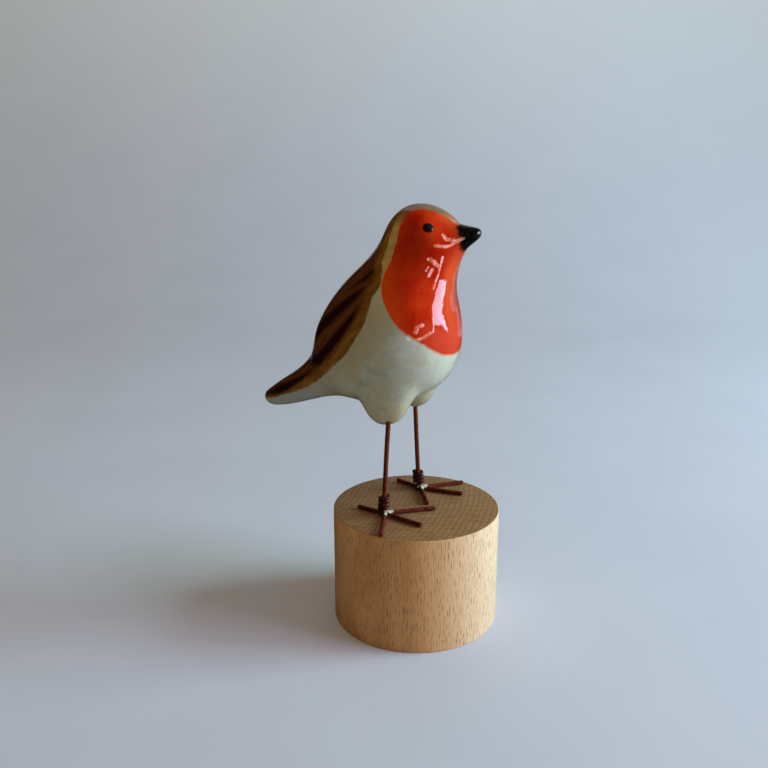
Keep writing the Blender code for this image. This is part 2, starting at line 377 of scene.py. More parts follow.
# ---------------------------------------------------------------------------------------------
# The toes: four cut wires to a foot, three forward and one back, laid flat on the block. Each is
# nipped off square and its root runs in under the solder.

toe_copper = copper("toe_copper", rgb(0.24, 0.042, 0.026), rgb(0.11, 0.020, 0.014),
                    rgb(0.03, 0.009, 0.008), 0.50)
TOE_BOWS = {
    "left_inner": ((0.05, 1, 0.0),), "left_middle": ((-0.10, 1, 0.0),),
    "left_outer": ((0.12, 1, 0.0),), "left_hind": ((0.06, 1, 0.0),),
    "right_inner": ((0.14, 1, 0.0),), "right_middle": ((-0.08, 1, 0.0),),
    "right_outer": ((0.05, 1, 0.0),), "right_hind": ((0.10, 1, 0.0),),
}
toe_runs = {"left": [], "right": []}
for toe, bows in TOE_BOWS.items():
    side = toe.split("_")[0]
    low, high = leg_axis(side)
    root, tip = wire_ends(f"toe_{toe}")
    if (root - low).xy.length > (tip - low).xy.length:
        root, tip = tip, root
    toe_low, toe_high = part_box(f"toe_{toe}")
    radius = (toe_high.z - toe_low.z) / 2
    toe_runs[side].append((root, tip, radius))
    # the turn of a flat wire's frame puts its first axis level, so a bow stays on the block
    wire = mesh_wire(f"toe_wire_{toe}", root, tip, radius, bows)
    toe_copper.on(wire)
    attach(wire, "root")
    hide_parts(f"toe_{toe}")


# ---------------------------------------------------------------------------------------------
# The solder: a bright bead at the foot of each leg that has run out over the roots of the toes.
# It is made as a ball and four cones of metal, melted into one skin and smoothed.

RUN_OUT = (1.5, 0.9, 1.2, 0.8)  # how far it runs out over the inner, middle, outer and hind toe
RUN_BACK = 0.9  # how far each run reaches back into the bead, in mm too


def leg_point(side, height):
    """The point on a leg's axis at this height."""
    low, high = leg_axis(side)
    return low.lerp(high, (height - low.z) / (high.z - low.z))


def solder_foot(side):
    """The bead at the foot of one leg, with its four runs."""
    low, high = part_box(f"solder_{side}")
    middle = leg_point(side, (low.z + high.z) / 2)
    nothing_selected()
    bpy.ops.mesh.primitive_uv_sphere_add(segments=32, ring_count=16, radius=1.0, location=middle)
    lumps = [bpy.context.object]
    lumps[0].scale = (high - low) / 2 * Vector((0.97, 0.97, 1.02))
    for (root, tip, radius), run_out in zip(toe_runs[side], RUN_OUT):
        way = (tip - root).normalized()
        middle = root + way * (run_out / 2 - RUN_BACK) * MM + Vector((0, 0, 0.12 * MM))
        bpy.ops.mesh.primitive_cone_add(
            vertices=24, radius1=radius * 1.28, radius2=radius * 0.75,
            depth=(run_out + RUN_BACK) * MM, location=middle,
            rotation=way.to_track_quat("Z", "Y").to_euler())
        lumps.append(bpy.context.object)
    nothing_selected()
    for lump in lumps:
        lump.select_set(True)
    bpy.context.view_layer.objects.active = lumps[0]
    bpy.ops.object.join()
    foot = bpy.context.object
    bpy.ops.object.transform_apply(location=True, rotation=True, scale=True)
    remesh = foot.modifiers.new("Melt", "REMESH")
    remesh.mode = "VOXEL"
    remesh.voxel_size = 0.09 * MM
    smooth = foot.modifiers.new("Flow", "SMOOTH")
    smooth.factor = 0.5
    smooth.iterations = 9
    apply_modifiers(foot)
    wood = block_high.z + 0.04 * MM
    for vertex in foot.data.vertices:
        vertex.co.z = max(vertex.co.z, wood)
    settle(foot, f"solder_bead_{side}")
    bpy.ops.object.shade_smooth()
    return foot


solder = Finish("solder")
solder_way = solder.add("ShaderNodeSeparateXYZ", {
    "Vector": solder.add("ShaderNodeNewGeometry").outputs["Normal"]}).outputs
front = solder.math("ADD", solder_way["X"], solder.times(solder_way["Z"], 0.5))
# painted light: the bead is painted bright where it faces the front and up, and dark over the
# rest, which is partly burnt flux and partly painted shade
facing_and_flux = solder.math("ADD", front, solder.times(solder.noise(1.1, 3.0, 0.6), 1.3))
clean_and_painted_lit = solder.ramp(facing_and_flux, 1.08, 1.22)
solder.set(Base_Color=solder.mix(clean_and_painted_lit, rgb(0.030, 0.018, 0.014), rgb(0.88, 0.80, 0.64)),
           Metallic=solder.times(clean_and_painted_lit, 0.4), Roughness=0.28,
           Normal=solder.bump(solder.noise(0.7, 2.0), 0.10))
for side in ("left", "right"):
    bead = solder_foot(side)
    solder.on(bead)
    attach(bead, "root")
    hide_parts(f"solder_{side}")


# ---------------------------------------------------------------------------------------------
# The bindings: thinner wire wound tightly round each leg just above the foot, darkened by the
# flame. The turns are close but not even, and both ends of the wire are cut off square.

BINDING_TURNS = 3.75
BINDING_RADIUS = 0.5 * MM
TURN_CROWDING = 0.16 * MM  # how far a turn is pushed up or down by its neighbours
BINDING_START = {"left": 20, "right": 60}  # where the winding starts, in degrees


def binding(side):
    """The thin wire's round end, wound up round the leg from the solder."""
    low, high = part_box(f"binding_{side}")
    leg_low, leg_high = leg_axis(side)
    direction = (leg_high - leg_low).normalized()
    bottom = leg_point(side, low.z)
    height = (high.z - low.z) / direction.z
    out = (high.x - low.x) / 2 - BINDING_RADIUS
    nothing_selected()
    bpy.ops.mesh.primitive_circle_add(
        vertices=18, radius=BINDING_RADIUS * 0.98, fill_type="NOTHING",
        rotation=(math.radians(90), 0, 0))
    coil = bpy.context.object
    bpy.ops.object.transform_apply(location=False, rotation=True, scale=True)
    bpy.ops.object.mode_set(mode="EDIT")
    bpy.ops.mesh.select_all(action="SELECT")
    bpy.ops.transform.translate(value=(out, 0, BINDING_RADIUS))
    bpy.ops.object.mode_set(mode="OBJECT")
    screw = coil.modifiers.new("Winding", "SCREW")
    screw.angle = 2 * math.pi * BINDING_TURNS
    screw.steps = screw.render_steps = int(40 * BINDING_TURNS)
    screw.screw_offset = height - 2 * BINDING_RADIUS
    screw.use_merge_vertices = False
    apply_modifiers(coil)
    bm = bmesh.new()
    bm.from_mesh(coil.data)
    bmesh.ops.remove_doubles(bm, verts=bm.verts, dist=0.001 * MM)
    open_edges = [edge for edge in bm.edges if edge.is_boundary]
    bmesh.ops.holes_fill(bm, edges=open_edges, sides=0)
    # wound by hand: the turns crowd and gap a little, and lean in and out
    for vertex in bm.verts:
        way = vertex.co.z / height * BINDING_TURNS
        squeeze = TURN_CROWDING * math.sin(1.9 * way + 0.7 * len(side))
        swell = 1.0 + 0.025 * math.sin(2.6 * way + 1.1 * len(side))
        vertex.co.x *= swell
        vertex.co.y *= swell
        if BINDING_RADIUS < vertex.co.z < height - BINDING_RADIUS:
            vertex.co.z += squeeze * math.sin(math.pi * vertex.co.z / height)
    bmesh.ops.recalc_face_normals(bm, faces=bm.faces)
    bm.transform(Matrix.Translation(bottom) @ direction.to_track_quat("Z", "Y").to_matrix().to_4x4()
                 @ Matrix.Rotation(math.radians(BINDING_START[side]), 4, "Z"))
    bm.to_mesh(coil.data)
    bm.free()
    settle(coil, f"binding_coil_{side}")
    bpy.ops.object.shade_smooth_by_angle(angle=math.radians(50))
    return coil


burnt_copper = copper("burnt_copper", rgb(0.13, 0.030, 0.022), rgb(0.040, 0.012, 0.011),
                      rgb(0.008, 0.005, 0.004), 0.28)
for side in ("left", "right"):
    coil = binding(side)
    burnt_copper.on(coil)
    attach(coil, "root")
    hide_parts(f"binding_{side}")


# ---------------------------------------------------------------------------------------------
# The bird: one piece of fired clay, hand-shaped, from the blunt tail through the trunk and the
# upright breast to the short bill, with two soft thighs drawn down for the wires. It is lofted
# through oval sections and smoothed, and its surface is a thick clear glaze over painted colour.

BIRD_SECTIONS = [
    # upper point (x, z), lower point (x, z) and half-width, in mm, from the tail to the bill
    ((-54.9, 63.9), (-53.2, 59.7), 3.0),
    ((-53.3, 64.9), (-49.9, 59.4), 4.9),
    ((-48.9, 68.5), (-43.3, 60.9), 6.0),
    ((-40.4, 73.5), (-35.2, 63.7), 7.4),
    ((-32.1, 82.0), (-25.6, 66.6), 11.1),
    ((-31.2, 90.6), (-16.0, 66.1), 16.2),
    ((-27.5, 96.9), (-8.4, 65.3), 19.3),
    ((-22.2, 103.9), (2.9, 69.4), 20.6),
    ((-15.7, 109.4), (10.2, 74.6), 18.9),
    ((-10.4, 115.3), (13.7, 85.6), 15.9),
    ((-8.1, 121.8), (9.9, 95.7), 13.9),
    ((-2.3, 125.7), (10.2, 104.0), 12.7),
    ((4.7, 124.7), (11.6, 108.9), 11.7),
    ((8.8, 120.9), (13.0, 111.2), 8.1),
    ((13.0, 119.2), (14.6, 113.2), 4.2),
    ((18.7, 118.9), (18.8, 116.1), 2.2),
]
THIGHS = ((-3.3, 12.0, 6.5), (-4.1, -11.8, 7.7))  # centre x, y and drop, in mm
THIGH_LENGTH, THIGH_WIDTH = 7.0, 8.0  # half the bulge's reach along and across the bird
THIGH_TOP, THIGH_FADE = 78.0, 7.0  # the height at which it has died away, and over how much


def section(upper, lower, half_width):
    """A section's middle, its lean from upright, its half-height and half-width."""
    upper, lower = (Vector((x, 0, z)) * MM for x, z in (upper, lower))
    lean = math.atan2(upper.x - lower.x, upper.z - lower.z)
    return (upper + lower) / 2, lean, (upper - lower).length / 2, half_width * MM


def lofted_bird():
    """Draw a disc out through the sections, leaning and sizing it at each one."""
    middle, lean, tall, wide = section(*BIRD_SECTIONS[0])
    nothing_selected()
    bpy.ops.mesh.primitive_circle_add(
        vertices=12, radius=1.0, fill_type="NGON", location=middle,
        rotation=(0, math.radians(90), 0))
    bird = bpy.context.object
    bird.scale = (tall, wide, 1.0)
    bpy.ops.object.transform_apply(location=True, rotation=True, scale=True)
    bpy.ops.object.mode_set(mode="EDIT")
    bpy.ops.mesh.select_all(action="SELECT")
    bpy.ops.object.mode_set(mode="OBJECT")
    turned = Matrix.Rotation(lean, 4, "Y")
    for vertex in bird.data.vertices:
        vertex.co = middle + turned @ (vertex.co - middle)
    bpy.ops.object.mode_set(mode="EDIT")
    for sizes in BIRD_SECTIONS[1:]:
        following, next_lean, next_tall, next_wide = section(*sizes)
        bpy.ops.mesh.extrude_region_move(TRANSFORM_OT_translate={"value": following - middle})
        bpy.ops.object.mode_set(mode="OBJECT")
        back, forth = Matrix.Rotation(-lean, 4, "Y"), Matrix.Rotation(next_lean, 4, "Y")
        sized = Matrix.Diagonal((1.0, next_wide / wide, next_tall / tall, 1.0))
        for vertex in bird.data.vertices:
            if vertex.select:
                vertex.co = following + forth @ sized @ back @ (vertex.co - following)
        bpy.ops.object.mode_set(mode="EDIT")
        middle, lean, tall, wide = following, next_lean, next_tall, next_wide
    bpy.ops.mesh.select_all(action="SELECT")
    bpy.ops.mesh.normals_make_consistent(inside=False)
    bpy.ops.object.mode_set(mode="OBJECT")
    smooth = bird.modifiers.new("Smooth clay", "SUBSURF")
    smooth.levels = smooth.render_levels = 4
    apply_modifiers(bird)
    return bird


def draw_down_thighs(mesh):
    """Pull each thigh down out of the belly: a round-ended bulge that fades out upwards."""
    points = all_points(mesh)
    x, y, z = (points / MM).T
    below = np.clip((THIGH_TOP - z) / THIGH_FADE, 0, 1)
    weight = below * below * (3 - 2 * below)
    for centre_x, centre_y, drop in THIGHS:
        reach = ((x - centre_x) / THIGH_LENGTH) ** 2 + ((y - centre_y) / THIGH_WIDTH) ** 2
        points[:, 2] -= drop * MM * np.exp(-reach ** 2) * weight
    mesh.vertices.foreach_set("co", points.ravel())
    mesh.update()


def eye_place(side):
    """The middle of an eye's lens and the way it faces, read from its CAD lens."""
    points = all_points(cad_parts[f"eye_{side}"].data)
    middle = (points.max(axis=0) + points.min(axis=0)) / 2
    facing = np.linalg.svd(points - middle, full_matrices=False)[2][2]
    outward = 1 if side == "left" else -1
    facing = facing if facing[1] * outward > 0 else -facing
    return Vector(middle), Vector(facing)


def lens(name, side, radius, half_depth, back=1.0):
    """A flattened ball at an eye's place, its back half pressed in to this share of its depth."""
    middle, facing = eye_place(side)
    nothing_selected()
    bpy.ops.mesh.primitive_uv_sphere_add(
        segments=48, ring_count=24, radius=radius, location=middle,
        rotation=facing.to_track_quat("Z", "Y").to_euler())
    piece = bpy.context.object
    piece.scale = (1, 1, half_depth / radius)
    for vertex in piece.data.vertices:
        if vertex.co.z < 0:
            vertex.co.z *= back
    settle(piece, name)
    bpy.ops.object.shade_smooth()
    return piece


EYE_HOLLOW = (1.56 * MM, 0.84 * MM)  # radius and half-depth

bird = lofted_bird()
draw_down_thighs(bird.data)
for side in ("left", "right"):
    hollow = lens(f"hollow_{side}", side, *EYE_HOLLOW)
    boolean = bird.modifiers.new("Eye hollow", "BOOLEAN")
    boolean.solver = "MANIFOLD"
    boolean.object = hollow
    apply_modifiers(bird)
    bpy.data.objects.remove(hollow)
    low, high = leg_axis(side)
    drill(bird, low, high + (high - low).normalized() * 0.1 * MM, LEG_HOLE_RADIUS)
settle(bird, "glazed_bird")
bpy.ops.object.shade_smooth_by_angle(angle=math.radians(50))


# The painting, held as distances in mm from the edge of each colour, positive inside it. The
# outlines are seen from the bird's side, x and z in mm, and are the same on both its sides.

def flowing(points, steps=10):
    """A smooth line through the given points."""
    points = [np.array(p, float) for p in points]
    line = [points[0]]
    padded = [2 * points[0] - points[1], *points, 2 * points[-1] - points[-2]]
    for before, start, end, after in zip(padded, padded[1:], padded[2:], padded[3:]):
        for step in range(1, steps + 1):
            t = step / steps
            line.append(0.5 * (2 * start + (end - before) * t
                               + (2 * before - 5 * start + 4 * end - after) * t * t
                               + (3 * start - before - 3 * end + after) * t ** 3))
    return np.array(line)


def nearest(points, line):
    """The distance from each point to a line, and how far along the line, from 0 to 1."""
    best = np.full(len(points), 1e9)
    share = np.zeros(len(points))
    count = len(line) - 1
    for number, (start, end) in enumerate(zip(line, line[1:])):
        run = end - start
        along = np.clip((points - start) @ run / (run @ run), 0, 1)
        gap = np.linalg.norm(points - start - along[:, None] * run, axis=1)
        closer = gap < best
        best[closer] = gap[closer]
        share[closer] = (number + along[closer]) / count
    return best, share


def inside(points, edge, *corners):
    """Signed distance to an area bounded by a flowing edge and closed by far corners."""
    edge = flowing(edge)
    outline = np.vstack([edge, np.array(corners, float), edge[:1]])
    x, z = points.T
    within = np.zeros(len(points), bool)
    for start, end in zip(outline, outline[1:]):
        crosses = (start[1] > z) != (end[1] > z)
        with np.errstate(divide="ignore", invalid="ignore"):
            at = start[0] + (z - start[1]) / (end[1] - start[1]) * (end[0] - start[0])
        within ^= crosses & (x < at)
    gap, _ = nearest(points, edge)
    return np.where(within, gap, -gap)


def stroke(points, path, widths):
    """A brush stroke's signed distance: its width swells and tapers along its path."""
    gap, share = nearest(points, flowing(path))
    return np.interp(share, np.linspace(0, 1, len(widths)), widths) / 2 - gap


RED_EDGE = [(0.6, 128), (0.2, 124.5), (-0.3, 121.5), (-0.5, 118.5), (-0.5, 115.5), (-1, 113),
            (-1.7, 110), (-2.5, 108), (-3.3, 106.2), (-3.6, 104), (-3, 101), (-1.5, 98),
            (0.2, 95.3), (2.8, 92), (5.3, 90), (8.5, 87), (11.4, 83.6), (17, 79)]
BROWN_EDGE = [(1.5, 129), (-0.5, 124.2), (-2.0, 122), (-3.0, 119), (-3.4, 115.5), (-4, 112.5),
              (-4.7, 110), (-4.4, 108), (-4.0, 105.5), (-4.2, 103), (-5.8, 100), (-6.4, 96.5),
              (-7.4, 92.8), (-9.8, 88.3), (-13, 84), (-18, 79.7), (-24, 75.4), (-31, 71),
              (-38, 67.5), (-45, 64.8), (-51, 62.8), (-58, 62)]
BILL_EDGE = [(11.6, 122), (12.6, 119), (13.5, 117.8), (14.1, 116.2), (14.2, 114.8),
             (13.9, 113.4), (13.4, 111)]
WING_STROKES = [
    ([(-7.6, 106.8), (-9.6, 105.2), (-11.6, 103.8), (-15.5, 101)], (1.1, 1.7, 1.2, 0.2)),
    ([(-9.2, 102.4), (-12, 100), (-16.4, 96.3), (-20.5, 92.8), (-24.5, 89.5), (-27.5, 85.5)],
     (0.6, 2.4, 3.2, 3.4, 2.8, 1.4)),
    ([(-9.8, 97.5), (-12, 93.6), (-16.5, 88.4), (-20, 84.5), (-24.5, 80.6), (-28.5, 79)],
     (0.5, 2.0, 2.6, 2.8, 3.4, 2.2)),
    ([(-52, 63.9), (-46, 66.5), (-41, 69), (-36, 72), (-30, 75.6)], (1.0, 2.9, 2.5, 1.6, 0.4)),
]
# over the crown the red stops on both sides of a bare strip: its half-width at each x
CROWN_X = (-2, 1, 3, 5, 7, 9, 12)
CROWN_STRIP = (8.5, 6.9, 5.8, 4.7, 2.3, 1.2, 1.5)
CROWN_MIDDLE, CROWN_FLOOR = 0.8, 114  # the strip's middle line, y, and the height it starts at

places = all_points(bird.data) / MM
from_side = places[:, [0, 2]]
strip = np.interp(places[:, 0], CROWN_X, CROWN_STRIP)
beside_strip = np.where(places[:, 2] > CROWN_FLOOR,
                        np.abs(places[:, 1] - CROWN_MIDDLE) - strip, 9.0)
painting = {
    "red": np.minimum(inside(from_side, RED_EDGE, (60, 79), (60, 128)), beside_strip),
    "brown": inside(from_side, BROWN_EDGE, (-90, 62), (-90, 129)),
    "bill": inside(from_side, BILL_EDGE, (60, 111), (60, 122)),
    "stroke": np.max([stroke(from_side, path, widths) for path, widths in WING_STROKES], axis=0),
}
for name, distances in painting.items():
    layer = bird.data.attributes.new(name, "FLOAT", "POINT")
    layer.data.foreach_set("value", distances.astype(np.float32))

glaze = Finish("painted_glaze")
apart = glaze.add("ShaderNodeSeparateXYZ", {"Vector": glaze.place}).outputs
height = glaze.math("DIVIDE", apart["Z"], MM)
brushy = glaze.math("SUBTRACT", glaze.noise(1.6, 3.0, 0.6), 0.5)
loose = glaze.times(glaze.math("SUBTRACT", glaze.noise(5.0, 2.0, 0.5), 0.5), 1.6)


def painted(name, waver, soft):
    """Where a colour lies: its edge wavers by the given noise and is so many mm soft."""
    distance = glaze.math("ADD", glaze.attribute(name), waver)
    return glaze.ramp(distance, -soft / 2, soft / 2)


# the pale belly: a thin greenish-grey glaze, warmer where it is thin by the brown and the thighs,
# and darker and greyer towards the tail
cloud = glaze.noise(9.0, 3.0, 0.6)
patch = glaze.noise(4.5, 4.0, 0.65, glaze.mapped(place=(0.3, 0.1, 0.2), size=(1.0, 1.0, 1.6)))
belly = glaze.mix(glaze.ramp(cloud, 0.38, 0.62), rgb(0.45, 0.405, 0.25), rgb(0.51, 0.515, 0.36))
belly = glaze.mix(glaze.ramp(patch, 0.5, 0.66, 0.0, 0.75), belly, rgb(0.35, 0.365, 0.265))
# painted light: paler and cooler towards the front, the side that faces the window
belly = glaze.mix(glaze.ramp(apart["X"], -0.005, 0.010, 0.0, 0.85), belly, rgb(0.56, 0.57, 0.47))
edging = glaze.ramp(glaze.attribute("brown"), -13.0, -1.0)
low_warmth = glaze.ramp(height, 74.0, 65.0)
thinness = glaze.times(glaze.math("MAXIMUM", edging, low_warmth),
                       glaze.ramp(patch, 0.3, 0.6, 1.0, 0.35))
belly = glaze.mix(glaze.times(thinness, 0.8), belly, rgb(0.50, 0.395, 0.20))
blush = glaze.noise(3.0, 2.0, 0.5, glaze.mapped(place=(0.7, 0.4, 0.9)))
belly = glaze.mix(glaze.ramp(blush, 0.55, 0.75, 0.0, 0.45), belly, rgb(0.50, 0.385, 0.21))
belly = glaze.mix(glaze.ramp(apart["X"], -0.018, -0.038, 0.0, 0.85), belly, rgb(0.42, 0.40, 0.345))
# the tan of bare clay that shows between the red and the brown, and over the crown
tan = glaze.mix(glaze.ramp(glaze.noise(2.5, 3.0), 0.35, 0.65),
                rgb(0.56, 0.325, 0.10), rgb(0.68, 0.42, 0.145))
tan = glaze.mix(glaze.ramp(apart["Z"], 0.1185, 0.1230, 0.0, 0.9), tan, rgb(0.18, 0.125, 0.078))
belly = glaze.mix(glaze.ramp(height, 93.0, 102.0, 0.0, 0.8), belly, rgb(0.62, 0.58, 0.33))
colour = glaze.mix(glaze.ramp(height, 104.0, 108.0), belly, tan)
# the brown: brushed on in long streaks, ochre at its edge, near black in the wing's strokes
streak_place = glaze.mapped(turn=(0, 43, 0), size=(0.16, 1.0, 1.0))
streaks = glaze.noise(1.5, 4.0, 0.65, streak_place)
brown = glaze.mix(glaze.ramp(streaks, 0.35, 0.62),
                  rgb(0.100, 0.028, 0.012), rgb(0.165, 0.053, 0.015))
edge_depth = glaze.math("ADD", glaze.attribute("brown"), loose)
ochre = glaze.mix(glaze.ramp(streaks, 0.35, 0.7), rgb(0.20, 0.078, 0.010), rgb(0.34, 0.155, 0.024))
brown = glaze.mix(glaze.ramp(edge_depth, 1.6, 3.6, 1.0, 0.0), brown, ochre)
dark = painted("stroke", glaze.times(glaze.math("SUBTRACT", streaks, 0.5), 2.4), 1.6)
brown = glaze.mix(dark, brown, rgb(0.022, 0.005, 0.004))
colour = glaze.mix(painted("brown", brushy, 0.55), colour, brown)
# the red: two coats of orange-red, thinner and more orange in places; along its back edge it is
# partly thinner glaze and partly painted light, brighter on the side away from the window
brushed = glaze.noise(3.2, 4.0, 0.6, glaze.mapped(turn=(0, -20, 0), size=(1.0, 1.0, 0.35)))
pooled = glaze.noise(8.0, 2.0, 0.5, glaze.mapped(place=(0.5, 0.2, 0.1)))
red = glaze.mix(glaze.ramp(brushed, 0.38, 0.66), rgb(0.44, 0.011, 0.003), rgb(0.52, 0.026, 0.004))
red = glaze.mix(glaze.ramp(pooled, 0.4, 0.65, 0.0, 0.5), red, rgb(0.60, 0.046, 0.008))
thin_and_painted_fill = glaze.times(glaze.ramp(glaze.attribute("red"), 0.0, 9.0, 0.95, 0.0),
                   glaze.ramp(apart["X"], 0.007, -0.002),
                   glaze.ramp(height, 104.0, 114.0, 1.0, 0.4))
red = glaze.mix(thin_and_painted_fill, red, rgb(0.96, 0.088, 0.009))
# paler down the middle of the breast, partly glaze and partly painted reflection of the cloth
middle = glaze.times(glaze.ramp(glaze.math("ABSOLUTE", apart["Y"]), 0.0065, 0.0015, 0.0, 0.6),
                     glaze.ramp(apart["X"], 0.005, 0.008))
red = glaze.mix(middle, red, rgb(0.76, 0.105, 0.030))
# painted reflection: the lit cloth mirrored low on the front of the breast, painted in as a more
# orange red
painted_cloth_reflection = glaze.times(glaze.ramp(height, 95.0, 89.0),
                        glaze.ramp(apart["X"], 0.006, 0.010, 0.0, 0.8))
red = glaze.mix(painted_cloth_reflection, red, rgb(0.62, 0.055, 0.028))
# its edge is crisp on the breast, soft over the crown, and low down has been wiped paler
red_depth = glaze.math("ADD", glaze.attribute("red"), glaze.times(brushy, 0.7))
soft = glaze.ramp(height, 118.0, 121.5, 0.2, 1.3)
red_laid = glaze.ramp(red_depth, glaze.times(soft, -1.0), soft)
colour = glaze.mix(red_laid, colour, red)
wiped = glaze.times(glaze.ramp(glaze.math("ABSOLUTE", red_depth), 0.1, 0.4, 0.75, 0.0),
                    glaze.ramp(height, 95.0, 90.0))
colour = glaze.mix(wiped, colour, rgb(0.70, 0.42, 0.27))
# the bill: black, with a soft brushed edge
black = glaze.mix(glaze.ramp(glaze.noise(1.4, 2.0), 0.4, 0.7),
                  rgb(0.004, 0.004, 0.004), rgb(0.012, 0.011, 0.009))
colour = glaze.mix(painted("bill", brushy, 0.9), colour, black)
# the glaze: thick and glassy, slightly uneven, and thin, matt and speckled under the thighs
waves = glaze.noise(7.0, 1.0, 0.4)
ripple = glaze.noise(2.2, 2.0, 0.5)
grit = glaze.noise(0.45, 2.0, 0.6)
bare = glaze.times(glaze.ramp(height, 63.0, 67.5, 1.0, 0.0), glaze.ramp(apart["X"], -0.022, -0.014))
speckle = glaze.times(bare, glaze.ramp(grit, 0.5, 0.66))
colour = glaze.mix(glaze.times(speckle, 0.7), colour, rgb(0.26, 0.22, 0.17))
skin = glaze.bump(red_laid, 0.06)
skin = glaze.bump(waves, 0.35, skin)
skin = glaze.bump(ripple, 0.05, skin)
skin = glaze.bump(glaze.times(bare, grit), 0.10, skin)
pits = glaze.add("ShaderNodeTexVoronoi", {"Vector": glaze.place, "Scale": 1 / (6.0 * MM)})
skin = glaze.bump(glaze.ramp(pits.outputs["Distance"], 0.0, 0.045), 0.10, skin)
glaze.set(Roughness=glaze.math("ADD", glaze.times(bare, 0.3), 0.16), IOR=1.5,
          Specular_IOR_Level=0.0, Coat_Weight=1.0, Coat_Roughness=0.025, Coat_IOR=1.4,
          Normal=skin)
# the last of the glaze ran down the right side of the breast: it left a low swelling and a few
# thin runs and drips, which catch the light of the window
DRIPS = [
    # the path seen from the front, y and z, and the half-width, in mm
    ([(-9.6, 114.4), (-8.4, 114.1), (-6.9, 114.0), (-5.6, 114.5), (-3.9, 116.0)], 0.58),
    ([(-7.1, 116.9), (-6.9, 115.9), (-5.3, 115.6)], 0.60),
    ([(-10.0, 110.8), (-8.9, 110.0), (-7.5, 108.8)], 0.62),
    ([(-8.7, 107.9), (-9.2, 106.1)], 0.50),
    ([(-9.8, 108.5), (-10.0, 107.7)], 0.35),
    ([(-7.1, 111.2), (-6.6, 108.5), (-6.6, 105.8), (-7.6, 102.6)], 0.40),
    ([(-8.7, 95.2), (-9.0, 92.6), (-9.4, 91.0)], 0.36),
    ([(-13.6, 91.4), (-13.2, 92.8), (-12.0, 93.3)], 0.58),
    ([(-15.6, 90.2), (-14.6, 89.7), (-13.2, 89.4), (-12.0, 89.8), (-10.4, 91.0)], 0.55),
]
SWELLING_Y, SWELLING_LEAN = -50.2, 0.45  # its leaning middle line: y at height 0, y per height
SWELLING_HEIGHT = 99.3
SWELLING_WIDTH, SWELLING_TALL = 9.0, 6.0  # its spread across and up
across = glaze.math("DIVIDE", apart["Y"], MM)


def drip(path, half_width):
    """Where a thin run lies: 1 along its path, and 0 outside its width."""
    best = None
    for (start_y, start_z), (end_y, end_z) in zip(path, path[1:]):
        run_y, run_z = end_y - start_y, end_z - start_z
        length = run_y * run_y + run_z * run_z
        from_y = glaze.math("SUBTRACT", across, start_y)
        from_z = glaze.math("SUBTRACT", height, start_z)
        along = glaze.math("ADD", glaze.times(from_y, run_y / length),
                           glaze.times(from_z, run_z / length), clamp=True)
        off_y = glaze.math("SUBTRACT", from_y, glaze.times(along, run_y))
        off_z = glaze.math("SUBTRACT", from_z, glaze.times(along, run_z))
        gap = glaze.math("SQRT", glaze.math("ADD", glaze.times(off_y, off_y),
                                            glaze.times(off_z, off_z)))
        best = gap if best is None else glaze.math("MINIMUM", best, gap)
    return glaze.ramp(best, half_width * 0.5, half_width, 1.0, 0.0)


swell_y = glaze.math("SUBTRACT", glaze.math("SUBTRACT", across, SWELLING_Y),
                     glaze.times(height, SWELLING_LEAN))
swell_y = glaze.math("DIVIDE", swell_y, SWELLING_WIDTH)
swell_z = glaze.math("DIVIDE", glaze.math("SUBTRACT", height, SWELLING_HEIGHT), SWELLING_TALL)
swell = glaze.math("ADD", glaze.times(swell_y, swell_y), glaze.times(swell_z, swell_z))
swell = glaze.math("EXPONENT", glaze.times(swell, -0.5))
runs = drip(*DRIPS[0])
for path, half_width in DRIPS[1:]:
    runs = glaze.math("MAXIMUM", runs, drip(path, half_width))
lumpy = glaze.times(glaze.ramp(glaze.noise(0.9, 2.0, 0.6), 0.40, 0.54),
                    glaze.ramp(glaze.noise(0.24, 1.0, 0.5), 0.45, 0.57))
near_front = glaze.ramp(apart["X"], 0.002, 0.004)
runs = glaze.times(runs, near_front)
# painted glint: the red is painted orange under the runs, so that their glints look orange
painted_glint_orange = glaze.times(runs, red_laid, glaze.ramp(glaze.noise(0.5, 2.0, 0.6), 0.42, 0.58, 0.4, 0.8))
colour = glaze.mix(painted_glint_orange, colour, rgb(0.90, 0.16, 0.03))
glaze.set(Base_Color=colour)
runs = glaze.times(runs, lumpy)
swell = glaze.times(swell, near_front)
coat_skin = glaze.bump(swell, 1.75, skin)
# each run has one flat flank, and they all face the same way because the bird was tipped to drain
flank = glaze.add("ShaderNodeVectorMath", {
    0: (0.94, -0.24, 0.24), "Scale": glaze.times(runs, 7.0)}, operation="SCALE").outputs[0]
coat_skin = glaze.add("ShaderNodeVectorMath", {0: coat_skin, 1: flank}, operation="ADD").outputs[0]
coat_skin = glaze.add("ShaderNodeVectorMath", {0: coat_skin}, operation="NORMALIZE").outputs[0]
glaze.put(glaze.shader.inputs["Coat Normal"], coat_skin)
glaze.on(bird)
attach(bird, "root")
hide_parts("ceramic_body")


# ---------------------------------------------------------------------------------------------
# The eyes: beads of black glaze, one dropped into each of the two hollows pressed in the head,
# where it pooled: round in front, and flatter behind.

EYE_BEAD = (1.50 * MM, 0.77 * MM)  # radius and half-depth

